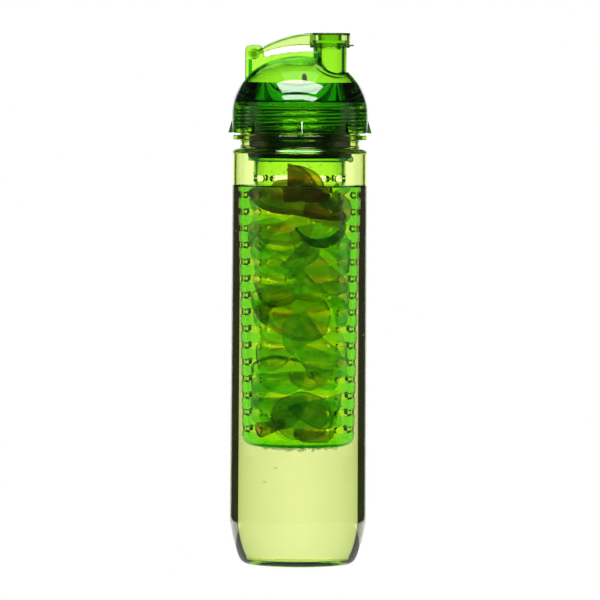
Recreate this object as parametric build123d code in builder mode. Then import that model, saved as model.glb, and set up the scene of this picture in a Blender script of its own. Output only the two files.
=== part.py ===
# Fruit infuser water bottle: a clear bottle, a domed screw lid with a flip cap over its spout,
# and a slotted basket that screws into the lid's skirt and hangs in the water.
# Millimetres, +Z up, origin on the bottle's axis at the plane it stands on.
from build123d import *
import math
import os

os.makedirs("parts", exist_ok=True)

# Fits shared by all pieces
running_gap = 0.3          # between curved faces that turn or slide past each other
pin_gap = 0.06             # radial play of the hinge pin in the cap's knuckle
seat_gap = 0.02            # radial play of a piece held fast in its seat
overrun = 1.0              # how far a cut runs past the face it opens

# Bottle
body_top_r = 33.8          # outer radius under the shoulder
body_flare = 0.5           # how much wider the body is where the base curve ends
body_height = 207.75       # standing plane to shoulder
body_wall = 2.0
base_curve_r = 46.0        # large curve from the side towards the base
base_curve_height = 24.0
base_corner_r = 5.0
floor_thickness = 3.0
floor_corner_r = 6.0
standing_ring_width = 3.4  # flat ring that the bottle stands on
punt_depth = 1.0           # hollow inside the standing ring
shoulder_round = 2.1
shoulder_step = 3.7        # body's radius to the neck's
neck_wall = 2.0
neck_height = 20.75        # shoulder to mouth
collar_rise = 4.4          # shoulder to the underside of the neck's collar
collar_width = 3.7
collar_thickness = 2.35
mouth_round = 0.6

# Lid
thread_space = 2.0         # room for the screw threads between neck and lid wall
lid_wall = 2.0
rim_gap = 1.0              # lid rim above the neck's collar
lid_straight = 9.2         # upright part of the lid's side
lid_side_curve_r = 28.0
lid_top_curve_r = 43.0
lid_seal_thickness = 2.5
seat_ring_depth = 9.1      # thick ring between the mouth seal and the dome
skirt_gap = 2.6            # neck's bore to the inner skirt that reaches down through it
skirt_wall = 2.3
skirt_depth = 22.5         # skirt end below the bottle's mouth
fin_count = 8
fin_height = 6.0
fin_reach = 1.7
fin_width = 3.5

# Spout and the scoop in the dome round its foot
spout_inset = 19.35        # lid's side to the spout's axis
spout_r = 8.4
spout_wall = 2.1
spout_rise = 6.5           # spout top above the top of the dome
spout_lip_round = 0.6
scoop_r = 12.8
scoop_reach = 4.85         # spout's axis to the scoop's
scoop_drop = 8.55          # lowest point of the scoop below the top of the dome

# Lugs and ribs that carry the hinge
hinge_inset = 11.1         # lid's side to the hinge axis
hinge_rise = 0.8           # hinge axis above the top of the dome
pin_r = 1.6
knuckle_r = 2.6
rib_thickness = 1.6
arm_width = 11.4
lug_reach = 4.45           # hinge axis to the lug's outer edge
lug_top_rise = 4.5         # hinge axis to the lug's top
lug_inner_reach = 3.4      # hinge axis to the lug's inner top corner
lug_foot_reach = 5.05      # hinge axis to where the lug meets the rib
lug_round = 2.6
rib_start_drop = 1.4       # rib's low end below the hinge axis
rib_crest_rise = 1.4       # rib's crest above the hinge axis
rib_crest_reach = 10.5     # spout's axis to the rib's crest
stop_plate_reach = 1.05    # hinge axis to the near face of the stop plate
stop_plate_thickness = 1.75
stop_plate_drop = 2.65     # hinge axis to the top of the stop plate

# Flip cap
cap_wall = 1.5
cap_overlap = 2.4          # how far the cap's skirt reaches below the spout's top
cap_head_room = 3.8        # spout top to the cap's ceiling
arm_wall = 1.5
arm_plate = 1.2
arm_crest_reach = 5.5      # spout's axis to the top of the arm's curve
arm_low_crest_reach = 12.5
arm_low_crest_drop = 1.2   # arm's lower edge below the spout's top
arm_top_end_shares = (0.4, 0.6)
arm_low_end_shares = (0.78, -0.12)
tab_reach = 1.6
tab_width = 10.0
tab_thickness = 0.8
tab_rise = 0.8             # tab above the cap's lower edge
plug_socket_wall = 1.4

# Spout plug
plug_flange_thickness = 1.3
plug_boss_r = 4.6
plug_depth = 3.4           # how far the plug enters the spout
plug_taper = 0.4
plug_wall = 1.5

# Basket
basket_step = 0.25         # basket's top radius beyond its neck's
basket_taper = 2.15        # top radius less the foot's
basket_length = 142.5      # flange underside to the bottom
basket_wall = 1.8
basket_corner_r = 5.0
basket_flange_step = 0.5   # flange's radius beyond the skirt's
basket_flange_thickness = 1.5
basket_neck_height = 14.0  # threaded neck above the flange
basket_seal_thickness = 3.0
seal_bevel_share = 0.3
slot_columns = 8
slot_pitch = 8.35
slot_height = 3.2
slot_width_share = 0.8     # of the arc from slot to slot at the basket's foot
slot_margin = 8.5          # basket end to the centre of the nearest slot

# Ring on the skirt, and the vent valve in the dome
ring_height = 2.4
ring_drop = 9.0            # ring's top below the bottle's mouth
valve_stem_r = 1.0
valve_head_r = 1.8
valve_head_thickness = 0.6
valve_bill_length = 1.2
valve_rise = 13.3          # valve above the mouth seal's seat
valve_x = 2.25

# Heights and radii that follow from the sizes above
foot_r = body_top_r + body_flare
neck_r = body_top_r - shoulder_step
collar_top_z = body_height + collar_rise + collar_thickness
mouth_z = body_height + neck_height
neck_bore_r = neck_r - neck_wall
lid_rim_z = collar_top_z + rim_gap
lid_bore_r = neck_r + thread_space
lid_r = lid_bore_r + lid_wall
side_centre_r = lid_r - lid_side_curve_r
side_centre_z = lid_rim_z + lid_straight
curve_gap = lid_top_curve_r - lid_side_curve_r
top_centre_z = side_centre_z - math.sqrt(curve_gap**2 - side_centre_r**2)
dome_top_z = top_centre_z + lid_top_curve_r
curve_join_angle = math.degrees(math.atan2(side_centre_z - top_centre_z, side_centre_r))
seat_z = mouth_z + lid_seal_thickness
ledge_z = seat_z + seat_ring_depth
skirt_r = neck_bore_r - skirt_gap
skirt_bore_r = skirt_r - skirt_wall
skirt_end_z = mouth_z - skirt_depth
spout_x = lid_r - spout_inset
spout_bore_r = spout_r - spout_wall
spout_top_z = dome_top_z + spout_rise
scoop_x = spout_x + scoop_reach
scoop_z = dome_top_z - scoop_drop + scoop_r
hinge_x = hinge_inset - lid_r
hinge_z = dome_top_z + hinge_rise
rib_y = arm_width / 2 + running_gap
rib_crest_x = spout_x - rib_crest_reach
arm_crest_x = spout_x - arm_crest_reach
arm_low_crest_x = spout_x - arm_low_crest_reach
cap_r = spout_r + running_gap + cap_wall
cap_low_z = spout_top_z - cap_overlap
cap_ceiling_z = spout_top_z + cap_head_room
cap_top_z = cap_ceiling_z + arm_plate
basket_flange_top_z = skirt_end_z - basket_seal_thickness
basket_flange_low_z = basket_flange_top_z - basket_flange_thickness
basket_foot_z = basket_flange_low_z - basket_length
basket_neck_r = skirt_bore_r - running_gap
basket_bore_r = basket_neck_r - basket_wall
basket_top_r = basket_neck_r + basket_step
basket_foot_r = basket_top_r - basket_taper
basket_flange_r = skirt_r + basket_flange_step
slot_width = slot_width_share * 2 * math.pi * basket_foot_r / slot_columns
basket_neck_top_z = basket_flange_top_z + basket_neck_height


def base_profile(side_r, curve_r, corner_r, low_z):
    """Draw the base from the flat to the upright side, and return the flat's radius."""
    centre_r = side_r - curve_r
    drop = base_curve_height - (low_z + corner_r)
    reach = curve_r - corner_r
    corner_centre_r = centre_r + math.sqrt(reach**2 - drop**2)
    meet_angle = -math.degrees(math.asin(drop / reach))
    CenterArc((corner_centre_r, low_z + corner_r), corner_r, -90, 90 + meet_angle)
    CenterArc((centre_r, base_curve_height), curve_r, meet_angle, -meet_angle)
    return corner_centre_r


# Bottle body: one clear moulding with a hollow base, a shoulder, a neck and a collar
with BuildPart() as bottle_body:
    with BuildSketch(Plane.XZ):
        with BuildLine():
            standing_r = base_profile(foot_r, base_curve_r, base_corner_r, 0)
            punt_r = standing_r - standing_ring_width
            Polyline(
                (foot_r, base_curve_height),
                (body_top_r, body_height),
                (neck_r, body_height),
                (neck_r, mouth_z),
                (0, mouth_z),
                (0, punt_depth),
                (punt_r - punt_depth, punt_depth),
                (punt_r, 0),
                (standing_r, 0),
            )
        make_face()
    revolve(axis=Axis.Z)
    shoulder_edges = bottle_body.edges().filter_by_position(
        Axis.Z, body_height - seat_gap, body_height + seat_gap
    )
    fillet(shoulder_edges.sort_by(SortBy.RADIUS)[-1], shoulder_round)
    with BuildSketch(Plane.XY.offset(collar_top_z - collar_thickness)):
        Circle(neck_r + collar_width)
        Circle(neck_r - body_wall / 2, mode=Mode.SUBTRACT)
    extrude(amount=collar_thickness)
    with BuildSketch(Plane.XZ):
        with BuildLine():
            inside_r = foot_r - body_wall
            floor_r = base_profile(
                inside_r, base_curve_r - body_wall, floor_corner_r, floor_thickness
            )
            Polyline(
                (inside_r, base_curve_height),
                (body_top_r - body_wall, body_height - body_wall),
                (neck_bore_r, body_height - body_wall),
                (neck_bore_r, mouth_z + overrun),
                (0, mouth_z + overrun),
                (0, floor_thickness),
                (floor_r, floor_thickness),
            )
        make_face()
    revolve(axis=Axis.Z, mode=Mode.SUBTRACT)
    fillet(bottle_body.faces().sort_by(Axis.Z)[-1].edges(), mouth_round)
bottle_body.part.label = "bottle_body"
export_step(bottle_body.part, "parts/bottle_body.step")


# Hollow of the dome, kept one wall inside the outer curve and inside the scoop
with BuildPart() as dome_hollow:
    with BuildSketch(Plane.XZ):
        with BuildLine():
            inner_top_r = lid_top_curve_r - lid_wall
            inner_side_r = lid_side_curve_r - lid_wall
            ledge_angle = math.degrees(math.asin((ledge_z - side_centre_z) / inner_side_r))
            ledge_r = side_centre_r + math.sqrt(
                inner_side_r**2 - (ledge_z - side_centre_z) ** 2
            )
            CenterArc(
                (side_centre_r, side_centre_z),
                inner_side_r,
                ledge_angle,
                curve_join_angle - ledge_angle,
            )
            CenterArc((0, top_centre_z), inner_top_r, curve_join_angle, 90 - curve_join_angle)
            Polyline(
                (0, top_centre_z + inner_top_r),
                (0, skirt_end_z - overrun),
                (skirt_bore_r, skirt_end_z - overrun),
                (skirt_bore_r, ledge_z),
                (ledge_r, ledge_z),
            )
        make_face()
    revolve(axis=Axis.Z)
    with BuildSketch(Plane.XZ):
        with Locations((scoop_x, scoop_z)):
            Circle(scoop_r + lid_wall)
    extrude(amount=lid_r, both=True, mode=Mode.SUBTRACT)

# Lid: dome, thick seat ring, inner skirt, spout, ribs with the hinge lugs, and grip fins
with BuildPart() as lid:
    with BuildSketch(Plane.XZ):
        with BuildLine():
            CenterArc((side_centre_r, side_centre_z), lid_side_curve_r, 0, curve_join_angle)
            CenterArc(
                (0, top_centre_z), lid_top_curve_r, curve_join_angle, 90 - curve_join_angle
            )
            Polyline(
                (0, dome_top_z),
                (0, skirt_end_z),
                (skirt_r, skirt_end_z),
                (skirt_r, seat_z),
                (lid_bore_r, seat_z),
                (lid_bore_r, lid_rim_z),
                (lid_r, lid_rim_z),
                (lid_r, side_centre_z),
            )
        make_face()
    revolve(axis=Axis.Z)
    with BuildSketch(Plane.XZ):
        with Locations((scoop_x, scoop_z)):
            Circle(scoop_r)
    extrude(amount=lid_r, both=True, mode=Mode.SUBTRACT)
    with BuildSketch(Plane.XY.offset(ledge_z)):
        with Locations((spout_x, 0)):
            Circle(spout_r)
    extrude(amount=spout_top_z - ledge_z)
    fillet(lid.faces().sort_by(Axis.Z)[-1].edges(), spout_lip_round)
    for side in (-1, 1):
        rib_plane = Plane.XZ.offset(side * (rib_y + rib_thickness / 2))
        with BuildSketch(rib_plane):
            with BuildLine():
                rib_start = (hinge_x + lug_foot_reach, hinge_z - rib_start_drop)
                rib_crest = (rib_crest_x, hinge_z + rib_crest_rise)
                TangentArc(rib_crest, rib_start, tangent=(-1, 0))
                Polyline(
                    rib_start,
                    (hinge_x + lug_inner_reach, hinge_z + lug_top_rise),
                    (hinge_x - lug_reach, hinge_z + lug_top_rise),
                    (hinge_x - lug_reach, ledge_z),
                    (spout_x, ledge_z),
                    (spout_x, hinge_z + rib_crest_rise),
                    rib_crest,
                )
            lug_face = make_face()
            fillet(lug_face.vertices().sort_by(Axis.Y)[-2:], lug_round)
        extrude(amount=rib_thickness / 2, both=True)
    stop_x = hinge_x - stop_plate_reach - stop_plate_thickness / 2
    with BuildSketch(Plane.XY.offset(ledge_z)):
        with Locations((stop_x, 0)):
            Rectangle(stop_plate_thickness, 2 * rib_y + rib_thickness)
    extrude(amount=hinge_z - stop_plate_drop - ledge_z)
    for number in range(fin_count):
        fin_plane = Plane.XZ.rotated((0, 0, number * 360 / fin_count))
        with BuildSketch(fin_plane):
            with BuildLine():
                Polyline(
                    (lid_r - lid_wall / 2, lid_rim_z),
                    (lid_r + fin_reach, lid_rim_z),
                    (lid_r, lid_rim_z + fin_height),
                    (lid_r - lid_wall / 2, lid_rim_z + fin_height),
                    close=True,
                )
            make_face()
        extrude(amount=fin_width / 2, both=True)
    add(dome_hollow.part, mode=Mode.SUBTRACT)
    with BuildSketch(Plane.XY.offset(ledge_z)):
        with Locations((spout_x, 0)):
            Circle(spout_bore_r)
    extrude(amount=spout_top_z + overrun - ledge_z, mode=Mode.SUBTRACT)
    with BuildSketch(Plane.XZ):
        with Locations((hinge_x, hinge_z)):
            Circle(pin_r + seat_gap)
    extrude(amount=lid_r, both=True, mode=Mode.SUBTRACT)
    valve_z = seat_z + valve_rise
    # the valve sits square on whichever of the dome's two curves passes its height
    join_z = side_centre_z + lid_side_curve_r * math.sin(math.radians(curve_join_angle))
    if valve_z < join_z:
        dome_r, dome_centre_r, dome_centre_z = lid_side_curve_r, side_centre_r, side_centre_z
    else:
        dome_r, dome_centre_r, dome_centre_z = lid_top_curve_r, 0, top_centre_z
    lean = math.asin((valve_z - dome_centre_z) / dome_r)
    valve_r = dome_centre_r + dome_r * math.cos(lean)
    turn = math.acos(valve_x / valve_r)
    valve_out = (
        math.cos(lean) * math.cos(turn),
        math.cos(lean) * math.sin(turn),
        math.sin(lean),
    )
    valve_plane = Plane(
        origin=(valve_r * math.cos(turn), valve_r * math.sin(turn), valve_z),
        x_dir=(-math.sin(turn), math.cos(turn), 0),
        z_dir=valve_out,
    )
    with BuildSketch(valve_plane.offset(-lid_wall - overrun)):
        Circle(valve_stem_r + seat_gap)
    extrude(amount=lid_wall + 2 * overrun, mode=Mode.SUBTRACT)
lid.part.label = "lid"
export_step(lid.part, "parts/lid.step")


# Lid seal: flat ring pressed between the bottle's mouth and the lid
with BuildPart() as lid_seal:
    with BuildSketch(Plane.XY.offset(mouth_z)):
        Circle(lid_bore_r - running_gap)
        Circle(skirt_r + running_gap, mode=Mode.SUBTRACT)
    extrude(amount=lid_seal_thickness)
lid_seal.part.label = "lid_seal"
export_step(lid_seal.part, "parts/lid_seal.step")


# Ring on the skirt, which steadies it in the neck
with BuildPart() as skirt_ring:
    with BuildSketch(Plane.XY.offset(mouth_z - ring_drop - ring_height)):
        Circle(neck_bore_r - running_gap)
        Circle(skirt_r + running_gap, mode=Mode.SUBTRACT)
    extrude(amount=ring_height)
skirt_ring.part.label = "skirt_ring"
export_step(skirt_ring.part, "parts/skirt_ring.step")


# Hinge pin through both lugs and the cap's knuckle
with BuildPart() as hinge_pin:
    with BuildSketch(Plane.XZ):
        with Locations((hinge_x, hinge_z)):
            Circle(pin_r)
    extrude(amount=rib_y + rib_thickness, both=True)
hinge_pin.part.label = "hinge_pin"
export_step(hinge_pin.part, "parts/hinge_pin.step")


# Vent valve: a soft plug with a flat head outside and a bill inside the dome
with BuildPart() as vent_valve:
    with BuildSketch(valve_plane):
        Circle(valve_head_r)
    extrude(amount=valve_head_thickness)
    with BuildSketch(valve_plane):
        Circle(valve_stem_r)
    extrude(amount=-lid_wall)
    with BuildSketch(valve_plane.offset(-lid_wall)):
        Circle(valve_stem_r)
    with BuildSketch(valve_plane.offset(-lid_wall - valve_bill_length)):
        Rectangle(valve_stem_r, valve_stem_r / 2)
    loft()
vent_valve.part.label = "vent_valve"
export_step(vent_valve.part, "parts/vent_valve.step")


# Flip cap: round cap over the spout, channel arm back to the hinge, and a thumb tab
with BuildPart() as flip_cap:
    with BuildSketch(Plane.XZ):
        with BuildLine():
            arm_crest = (arm_crest_x, cap_top_z)
            low_crest = (arm_low_crest_x, spout_top_z - arm_low_crest_drop)
            arm_top_end = (
                hinge_x + knuckle_r * arm_top_end_shares[0],
                hinge_z + knuckle_r * arm_top_end_shares[1],
            )
            arm_low_end = (
                hinge_x + knuckle_r * arm_low_end_shares[0],
                hinge_z + knuckle_r * arm_low_end_shares[1],
            )
            TangentArc(arm_crest, arm_top_end, tangent=(-1, 0))
            Line(arm_top_end, arm_low_end)
            TangentArc(low_crest, arm_low_end, tangent=(-1, 0))
            Polyline(
                low_crest,
                (spout_x, low_crest[1]),
                (spout_x, cap_top_z),
                arm_crest,
            )
        make_face()
        with Locations((hinge_x, hinge_z)):
            Circle(knuckle_r)
    extrude(amount=arm_width / 2, both=True)
    with BuildSketch(Plane.XZ):
        with BuildLine():
            under_crest = (arm_crest_x, cap_top_z - arm_plate)
            under_end = (arm_top_end[0] + arm_plate, arm_top_end[1] - arm_plate / 2)
            under_low = (hinge_x - knuckle_r - overrun, cap_low_z - 2 * knuckle_r)
            TangentArc(under_crest, under_end, tangent=(-1, 0))
            Polyline(
                under_end,
                (under_low[0], under_end[1] + knuckle_r),
                under_low,
                (arm_crest_x, under_low[1]),
                under_crest,
            )
        make_face()
    extrude(amount=arm_width / 2 - arm_wall, both=True, mode=Mode.SUBTRACT)
    with BuildSketch(Plane.XY.offset(cap_low_z)):
        with Locations((spout_x, 0)):
            Circle(cap_r)
    extrude(amount=cap_top_z - cap_low_z)
    with BuildSketch(Plane.XY.offset(cap_low_z - overrun)):
        with Locations((spout_x, 0)):
            Circle(spout_r + running_gap)
    extrude(amount=cap_ceiling_z - cap_low_z + overrun, mode=Mode.SUBTRACT)
    socket_low_z = spout_top_z + plug_flange_thickness
    with BuildSketch(Plane.XY.offset(socket_low_z)):
        with Locations((spout_x, 0)):
            Circle(plug_boss_r + seat_gap + plug_socket_wall)
            Circle(plug_boss_r + seat_gap, mode=Mode.SUBTRACT)
    extrude(amount=cap_ceiling_z - socket_low_z)
    with BuildSketch(Plane.XY.offset(cap_low_z + tab_rise)):
        tab_length = cap_r - spout_r + tab_reach
        with Locations((spout_x + cap_r + tab_reach - tab_length / 2, 0)):
            Rectangle(tab_length, tab_width)
        with Locations((spout_x, 0)):
            Circle(spout_r + running_gap + cap_wall / 2, mode=Mode.SUBTRACT)
    extrude(amount=tab_thickness)
    with BuildSketch(Plane.XZ):
        with Locations((hinge_x, hinge_z)):
            Circle(pin_r + pin_gap)
    extrude(amount=arm_width, both=True, mode=Mode.SUBTRACT)
flip_cap.part.label = "flip_cap"
export_step(flip_cap.part, "parts/flip_cap.step")


# Spout plug: soft stopper held in the cap's socket, with a flange that covers the spout's lip
with BuildPart() as spout_plug:
    plug_top_r = spout_bore_r - running_gap
    plug_foot_r = plug_top_r - plug_taper
    plug_foot_z = spout_top_z - plug_depth
    with BuildSketch(Plane.XZ):
        with BuildLine():
            Polyline(
                (0, cap_ceiling_z),
                (plug_boss_r, cap_ceiling_z),
                (plug_boss_r, spout_top_z + plug_flange_thickness),
                (spout_r, spout_top_z + plug_flange_thickness),
                (spout_r, spout_top_z),
                (plug_top_r, spout_top_z),
                (plug_foot_r, plug_foot_z),
                (plug_foot_r - plug_wall, plug_foot_z),
                (plug_top_r - plug_wall, spout_top_z),
                (0, spout_top_z),
                close=True,
            )
        make_face()
    revolve(axis=Axis.Z)
spout_plug.part = spout_plug.part.moved(Location((spout_x, 0, 0)))
spout_plug.part.label = "spout_plug"
export_step(spout_plug.part, "parts/spout_plug.step")


# Basket: tapered cup with rows of slots, a flange and a neck that screws into the skirt
with BuildPart() as basket:
    with BuildSketch(Plane.XZ):
        with BuildLine():
            Polyline(
                (0, basket_foot_z),
                (basket_foot_r, basket_foot_z),
                (basket_top_r, basket_flange_low_z),
                (basket_flange_r, basket_flange_low_z),
                (basket_flange_r, basket_flange_top_z),
                (basket_neck_r, basket_flange_top_z),
                (basket_neck_r, basket_neck_top_z),
                (0, basket_neck_top_z),
                close=True,
            )
        outer = make_face()
        corner = outer.vertices().sort_by(Axis.Y)[:2].sort_by(Axis.X)[-1]
        fillet(corner, basket_corner_r)
    revolve(axis=Axis.Z)
    with BuildSketch(Plane.XZ):
        with BuildLine():
            Polyline(
                (0, basket_foot_z + basket_wall),
                (basket_foot_r - basket_wall, basket_foot_z + basket_wall),
                (basket_bore_r, basket_flange_low_z),
                (basket_bore_r, basket_neck_top_z + overrun),
                (0, basket_neck_top_z + overrun),
                close=True,
            )
        inner = make_face()
        corner = inner.vertices().sort_by(Axis.Y)[:2].sort_by(Axis.X)[-1]
        fillet(corner, basket_corner_r - basket_wall)
    revolve(axis=Axis.Z, mode=Mode.SUBTRACT)
    slot_room = basket_length - 2 * slot_margin
    slot_rows = math.floor(slot_room / slot_pitch) + 1
    slot_mid_z = basket_flange_low_z - slot_margin - (slot_rows - 1) * slot_pitch / 2
    for number in range(slot_columns // 2):
        slot_plane = Plane.XZ.rotated((0, 0, (number + 0.5) * 360 / slot_columns))
        with BuildSketch(slot_plane):
            with Locations((0, slot_mid_z)):
                with GridLocations(slot_width, slot_pitch, 1, slot_rows):
                    Rectangle(slot_width, slot_height)
        extrude(amount=basket_flange_r, both=True, mode=Mode.SUBTRACT)
basket.part.label = "basket"
export_step(basket.part, "parts/basket.step")


# Basket seal: soft ring between the basket's flange and the skirt's end
with BuildPart() as basket_seal:
    with BuildSketch(Plane.XY.offset(basket_flange_top_z)):
        Circle(basket_flange_r)
        Circle(basket_neck_r + running_gap, mode=Mode.SUBTRACT)
    extrude(amount=basket_seal_thickness)
    rings = basket_seal.edges().filter_by(GeomType.CIRCLE)
    chamfer(rings.group_by(SortBy.RADIUS)[-1], basket_seal_thickness * seal_bevel_share)
basket_seal.part.label = "basket_seal"
export_step(basket_seal.part, "parts/basket_seal.step")
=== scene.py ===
import bpy
import bmesh
import math
import random
from mathutils import Matrix, Vector


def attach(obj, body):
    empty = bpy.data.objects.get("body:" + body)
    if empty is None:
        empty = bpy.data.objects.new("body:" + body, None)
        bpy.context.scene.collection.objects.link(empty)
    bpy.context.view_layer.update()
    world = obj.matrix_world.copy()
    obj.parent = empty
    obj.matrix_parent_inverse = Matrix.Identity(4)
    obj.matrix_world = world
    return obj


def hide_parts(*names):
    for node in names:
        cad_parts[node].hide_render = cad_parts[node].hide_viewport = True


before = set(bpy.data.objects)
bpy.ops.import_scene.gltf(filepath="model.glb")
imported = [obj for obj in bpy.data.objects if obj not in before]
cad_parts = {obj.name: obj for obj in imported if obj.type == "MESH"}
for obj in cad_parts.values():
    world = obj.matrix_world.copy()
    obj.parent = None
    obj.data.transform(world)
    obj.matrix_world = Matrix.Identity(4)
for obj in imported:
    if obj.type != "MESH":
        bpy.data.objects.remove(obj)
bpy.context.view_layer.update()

from types import SimpleNamespace

scene = bpy.context.scene
print("frame loaded")


# Shared helpers
def newMesh(name, vertices, faces):
    mesh = bpy.data.meshes.new(name)
    mesh.from_pydata(vertices, [], faces)
    return mesh


def linked(name, data):
    item = bpy.data.objects.new(name, data)
    scene.collection.objects.link(item)
    return item


def addPiece(name, mesh, body, paints, nodeName=None):
    piece = linked(name, mesh)
    mesh.materials.clear()
    for paint in paints:
        mesh.materials.append(materials[paint])
    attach(piece, body)
    if nodeName:
        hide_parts(nodeName)
    return piece


def smoothMesh(mesh, sharpDegrees=38):
    for face in mesh.polygons:
        face.use_smooth = True
    mesh.set_sharp_from_angle(angle=math.radians(sharpDegrees))


def arcPoints(centre, radius, fromDegrees, toDegrees, steps):
    points = []
    for step in range(steps + 1):
        angle = math.radians(fromDegrees + (toDegrees - fromDegrees) * step / steps)
        points.append((centre[0] + radius * math.cos(angle), centre[1] + radius * math.sin(angle)))
    return points


def corner(place, radius, quarter, steps=4, hollow=False):
    # rounds a square corner: quarters 0 to 3 start at -90, 0, 90 and 180 degrees, a hollow one runs back
    sideX, sideZ = ((-1, 1), (-1, -1), (1, -1), (1, 1))[quarter]
    centre = (place[0] + sideX * radius, place[1] + sideZ * radius)
    ends = (90 * quarter - 90, 90 * quarter)
    return arcPoints(centre, radius, *(ends[::-1] if hollow else ends), steps)


def rowPoints(start, end, steps):
    points = []
    for step in range(steps + 1):
        share = step / steps
        points.append((start[0] + (end[0] - start[0]) * share, start[1] + (end[1] - start[1]) * share))
    return points


def cleanOutline(points, nearest=1e-6):
    kept = []
    for point in points:
        if not kept or math.dist(point, kept[-1]) > nearest:
            kept.append(point)
    if math.dist(kept[0], kept[-1]) < nearest:
        kept.pop()
    return kept


def latheMesh(name, outline, sides, centreX=0.0, closed=True):
    # a closed outline runs anticlockwise in (radius, height), so its faces point outwards
    vertices, rings, faces = [], [], []
    for radius, height in cleanOutline(outline):
        if radius < 1e-7:
            rings.append([len(vertices)] * sides)
            vertices.append((centreX, 0.0, height))
            continue
        rings.append([len(vertices) + side for side in range(sides)])
        for side in range(sides):
            angle = 2 * math.pi * side / sides
            vertices.append((centreX + radius * math.cos(angle), radius * math.sin(angle), height))
    for index, ring in enumerate(rings if closed else rings[:-1]):
        above = rings[(index + 1) % len(rings)]
        for side in range(sides):
            after = (side + 1) % sides
            corners = []
            for item in (ring[side], ring[after], above[after], above[side]):
                if item not in corners:
                    corners.append(item)
            if len(corners) > 2:
                faces.append(corners)
    mesh = newMesh(name, vertices, faces)
    mesh.validate()
    return mesh


# Node graphs: a plain value is set on its socket, and another node's output is linked to it
class Graph:
    def __init__(self, tree):
        self.nodes, self.links = tree.nodes, tree.links

    def put(self, node, values):
        for key, value in values.items():
            if isinstance(value, bpy.types.NodeSocket):
                self.links.new(value, node.inputs[key])
            else:
                node.inputs[key].default_value = value
        return node

    def add(self, kind, values=None, **settings):
        node = self.nodes.new(kind)
        for key, setting in settings.items():
            setattr(node, key, setting)
        return self.put(node, values or {})

    def calc(self, operation, *values):
        return self.add("ShaderNodeMath", dict(enumerate(values)), operation=operation).outputs[0]

    def ramp(self, value, low, high, top=1.0):
        values = {"Value": value, "From Min": low, "From Max": high, "To Max": top}
        return self.add("ShaderNodeMapRange", values, interpolation_type="SMOOTHSTEP").outputs["Result"]

    def split(self, vector):
        return self.add("ShaderNodeSeparateXYZ", {0: vector}).outputs

    def join(self, *values):
        return self.add("ShaderNodeCombineXYZ", dict(enumerate(values))).outputs[0]

    def size(self, vector):
        return self.add("ShaderNodeVectorMath", {0: vector}, operation="LENGTH").outputs["Value"]

    def mix(self, factor, one, two):
        values = {0: factor}
        for key, colour in ((6, one), (7, two)):
            values[key] = (*colour, 1) if isinstance(colour, tuple) else colour
        return self.add("ShaderNodeMix", values, data_type="RGBA").outputs[2]

    def mixShaders(self, factor, one, two):
        return self.add("ShaderNodeMixShader", {0: factor, 1: one.outputs[0], 2: two.outputs[0]}).outputs[0]

    def noise(self, scale, detail=2.0):
        coords = self.add("ShaderNodeTexCoord").outputs["Object"]
        values = {"Vector": coords, "Scale": scale, "Detail": detail}
        return self.add("ShaderNodeTexNoise", values).outputs["Fac"]

    def surface(self, values):
        return self.put(self.nodes["Principled BSDF"], values)

    def absorb(self, loss, spare=1.02):
        # the density is a little over the greatest loss, so that no colour of the volume is nought
        density = max(loss) * spare
        colour = (*[1 - value / density for value in loss], 1)
        volume = self.add("ShaderNodeVolumeAbsorption", {"Density": density, "Color": colour})
        self.put(self.nodes["Material Output"], {"Volume": volume.outputs[0]})


def newMaterial(name):
    material = bpy.data.materials.new(name)
    material.use_nodes = True
    return material, Graph(material.node_tree)


# Camera at the photograph's viewing angle
cameraView = {
    "distance": 2.7, "eyeHeight": 0.236, "aim": (0.0005, 0.0, 0.132), "frameWidth": 0.3,
    "sensor": 36.0, "roll": math.radians(0.32), "clip": (0.05, 20.0),
}


def makeCamera():
    c = SimpleNamespace(**cameraView)
    data = bpy.data.cameras.new("camera")
    data.sensor_width = c.sensor
    data.lens = c.sensor * c.distance / c.frameWidth
    data.clip_start, data.clip_end = c.clip
    camera = linked("camera", data)
    aim = Vector(c.aim)
    camera.location = (aim.x, -c.distance, c.eyeHeight)
    turn = (aim - camera.location).to_track_quat("-Z", "Y").to_matrix().to_4x4()
    turn = turn @ Matrix.Rotation(c.roll, 4, "Z")
    camera.rotation_euler = turn.to_euler()
    scene.camera = camera


makeCamera()
print("camera placed")


# Floor, backdrop and lights
studio = {
    "backdrop": (1.0, 1.0, 1.0), "sideGlow": 0.35, "sideEdge": (0.92, 0.98), "topGlow": 0.1,
    "topEdge": (0.5, 0.85), "darkRoom": 0.045,
    "floorRadius": 0.9, "floorTop": -0.0002, "floorLow": -0.004, "floorSides": 96,
    "floorTone": 0.06, "floorRough": 0.9, "floorShine": 0.5, "shineRadius": 0.2, "shineFade": 0.02,
    "cardHalf": 0.25, "cardNear": -0.042, "cardFar": -0.36, "cardHeight": 0.125, "cardTone": 0.01,
    "bounces": 40, "glossyBounces": 10, "clearBounces": 24,
}
lamps = {
    # the panel stands close behind the bottle, so that the bottle's edges see past it and go dark
    "backPanel": {"place": (0.0, 0.25, 0.15), "size": (0.312, 0.30), "turn": (-90.0, 0.0),
                  "glow": 0.76, "spread": 136.0},
    "floorPanel": {"place": (0.0, 0.14, 0.0003), "size": (0.312, 0.22), "turn": (180.0, 0.0), "glow": 1.3},
    "overhead": {"place": (0.0, -0.50, 1.04), "size": (1.05, 0.54), "turn": (0.0, -6.0), "glow": 12.5},
    "overheadFront": {"place": (0.0, -1.16, 1.04), "size": (1.4, 0.42), "turn": (0.0, -6.0), "glow": 12.5},
    "softFill": {"place": (0.0, -0.2, 1.6), "size": (1.0, 1.0), "turn": (0.0, 0.0), "glow": 1.0,
                 "diffuse": True},
}


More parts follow.
